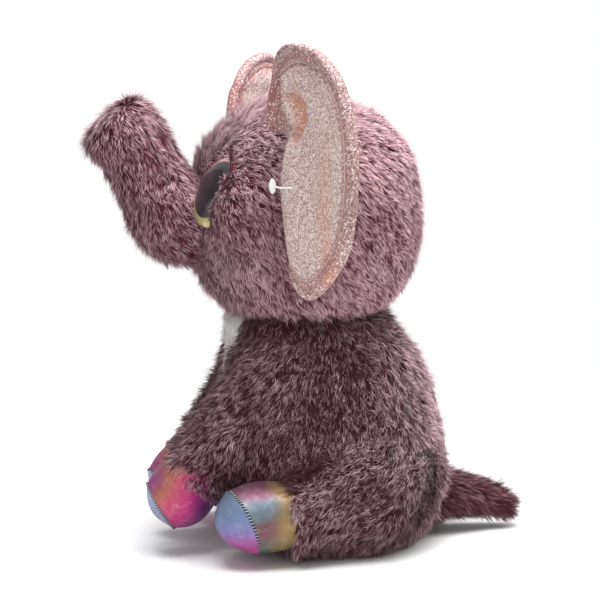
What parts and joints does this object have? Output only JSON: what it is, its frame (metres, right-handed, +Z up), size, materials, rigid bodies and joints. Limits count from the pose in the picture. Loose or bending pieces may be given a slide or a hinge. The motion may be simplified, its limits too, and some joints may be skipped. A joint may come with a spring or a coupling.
{
  "type": "stuffed elephant",
  "caption": "Sitting plush elephant with a raised trunk, frosted plum pile, sparkle ears, foil feet and big domed eyes, sewn covers over stuffing.",
  "frame": {"origin": "on the seat, in the plane that parts the left side from the right, below the head's centre", "axes": "+Z up, the elephant faces -Y, its left side is +X"},
  "size_m": [0.1897, 0.2083, 0.2326],
  "materials": {
    "plum_pile": "frosted long pile, plum roots and pale tips",
    "pale_pile": "frosted long pile, mostly pale tips",
    "white_pile": "short white pile",
    "stuffing": "loose polyester fibre",
    "bean_pouch": "thin cloth pouch of plastic pellets",
    "ear_sparkle": "pale rose cloth with silver sparkle",
    "ear_hem": "rose cloth with sparkle, rolled and topstitched",
    "eye_lens": "clear polished dome",
    "iris_print": "black pupil in a glitter iris",
    "eye_washer": "moulded",
    "tag_plastic": "translucent moulded",
    "foot_foil": "iridescent foil cloth, pink, orange, green and blue",
    "sole_foil": "iridescent foil cloth, mostly blue",
    "seam_thread": "gathered thread and cloth"
  },
  "bodies": {
    "body": {"body_left_panel": "plum_pile", "body_right_panel": "plum_pile", "bib_panel": "white_pile", "seat_panel": "plum_pile", "seat_bean_pouch": "bean_pouch", "body_stuffing": "stuffing"},
    "neck": {"neck_seam_ring": "seam_thread"},
    "head": {"head_left_panel": "plum_pile", "head_right_panel": "plum_pile", "head_crown_gusset": "pale_pile", "head_underside_panel": "plum_pile", "head_stuffing": "stuffing", "eye_left_lens": "eye_lens", "eye_left_iris_plate": "iris_print", "eye_left_washer": "eye_washer", "eye_right_lens": "eye_lens", "eye_right_iris_plate": "iris_print", "eye_right_washer": "eye_washer"},
    "trunk": {"trunk_left_panel": "plum_pile", "trunk_right_panel": "plum_pile", "trunk_tip_panel": "pale_pile", "trunk_stuffing": "stuffing"},
    "ear_left": {"ear_left_front_panel": "ear_sparkle", "ear_left_back_panel": "ear_sparkle", "ear_left_padding": "stuffing", "ear_left_hem": "ear_hem", "tag_fastener": "tag_plastic"},
    "ear_right": {"ear_right_front_panel": "ear_sparkle", "ear_right_back_panel": "ear_sparkle", "ear_right_padding": "stuffing", "ear_right_hem": "ear_hem"},
    "front_leg_left": {"front_leg_left_sleeve": "plum_pile", "front_leg_left_stuffing": "stuffing", "front_leg_left_foot": "foot_foil", "front_leg_left_sole": "sole_foil"},
    "front_leg_right": {"front_leg_right_sleeve": "plum_pile", "front_leg_right_stuffing": "stuffing", "front_leg_right_foot": "foot_foil", "front_leg_right_sole": "sole_foil"},
    "hind_leg_left": {"hind_leg_left_sleeve": "plum_pile", "hind_leg_left_stuffing": "stuffing", "hind_leg_left_foot": "foot_foil", "hind_leg_left_sole": "sole_foil"},
    "hind_leg_right": {"hind_leg_right_sleeve": "plum_pile", "hind_leg_right_stuffing": "stuffing", "hind_leg_right_foot": "foot_foil", "hind_leg_right_sole": "sole_foil"},
    "tail": {"tail_cover": "plum_pile", "tail_stuffing": "stuffing"}
  },
  "joints": [
    {"name": "head_turn", "type": "hinge", "parent": "body", "child": "neck", "pos_m": [0, -0.001, 0.152], "axis": [0, 0, 1], "range_deg": [-25, 25], "stiffness_Nm_per_rad": 0.25},
    {"name": "head_nod", "type": "hinge", "parent": "neck", "child": "head", "pos_m": [0, -0.001, 0.152], "axis": [1, 0, 0], "range_deg": [-10, 10], "stiffness_Nm_per_rad": 0.6},
    {"name": "trunk_lift", "type": "hinge", "parent": "head", "child": "trunk", "pos_m": [0, -0.063, 0.152], "axis": [1, 0, 0], "range_deg": [-6, 14], "stiffness_Nm_per_rad": 0.2},
    {"name": "ear_left_flap", "type": "hinge", "parent": "head", "child": "ear_left", "pos_m": [0.052, -0.014, 0.152], "axis": [0, 0, 1], "range_deg": [-10, 24], "stiffness_Nm_per_rad": 0.05},
    {"name": "ear_right_flap", "type": "hinge", "parent": "head", "child": "ear_right", "pos_m": [-0.052, -0.014, 0.152], "axis": [0, 0, -1], "range_deg": [-20, 8], "stiffness_Nm_per_rad": 0.05},
    {"name": "front_leg_left_lift", "type": "hinge", "parent": "body", "child": "front_leg_left", "pos_m": [0.02, -0.0258, 0.0784], "axis": [-1, 0, 0], "range_deg": [0, 20], "stiffness_Nm_per_rad": 0.3},
    {"name": "front_leg_right_lift", "type": "hinge", "parent": "body", "child": "front_leg_right", "pos_m": [-0.02, -0.0258, 0.0784], "axis": [-1, 0, 0], "range_deg": [0, 20], "stiffness_Nm_per_rad": 0.3},
    {"name": "hind_leg_left_spread", "type": "hinge", "parent": "body", "child": "hind_leg_left", "pos_m": [0.03, 0.012, 0.028], "axis": [0, 0, 1], "range_deg": [0, 20], "stiffness_Nm_per_rad": 0.3},
    {"name": "hind_leg_right_spread", "type": "hinge", "parent": "body", "child": "hind_leg_right", "pos_m": [-0.03, 0.012, 0.028], "axis": [0, 0, -1], "range_deg": [0, 20], "stiffness_Nm_per_rad": 0.3},
    {"name": "tail_wag", "type": "hinge", "parent": "body", "child": "tail", "pos_m": [0, 0.066, 0.017], "axis": [0, 0, 1], "range_deg": [-20, 20], "stiffness_Nm_per_rad": 0.05}
  ]
}
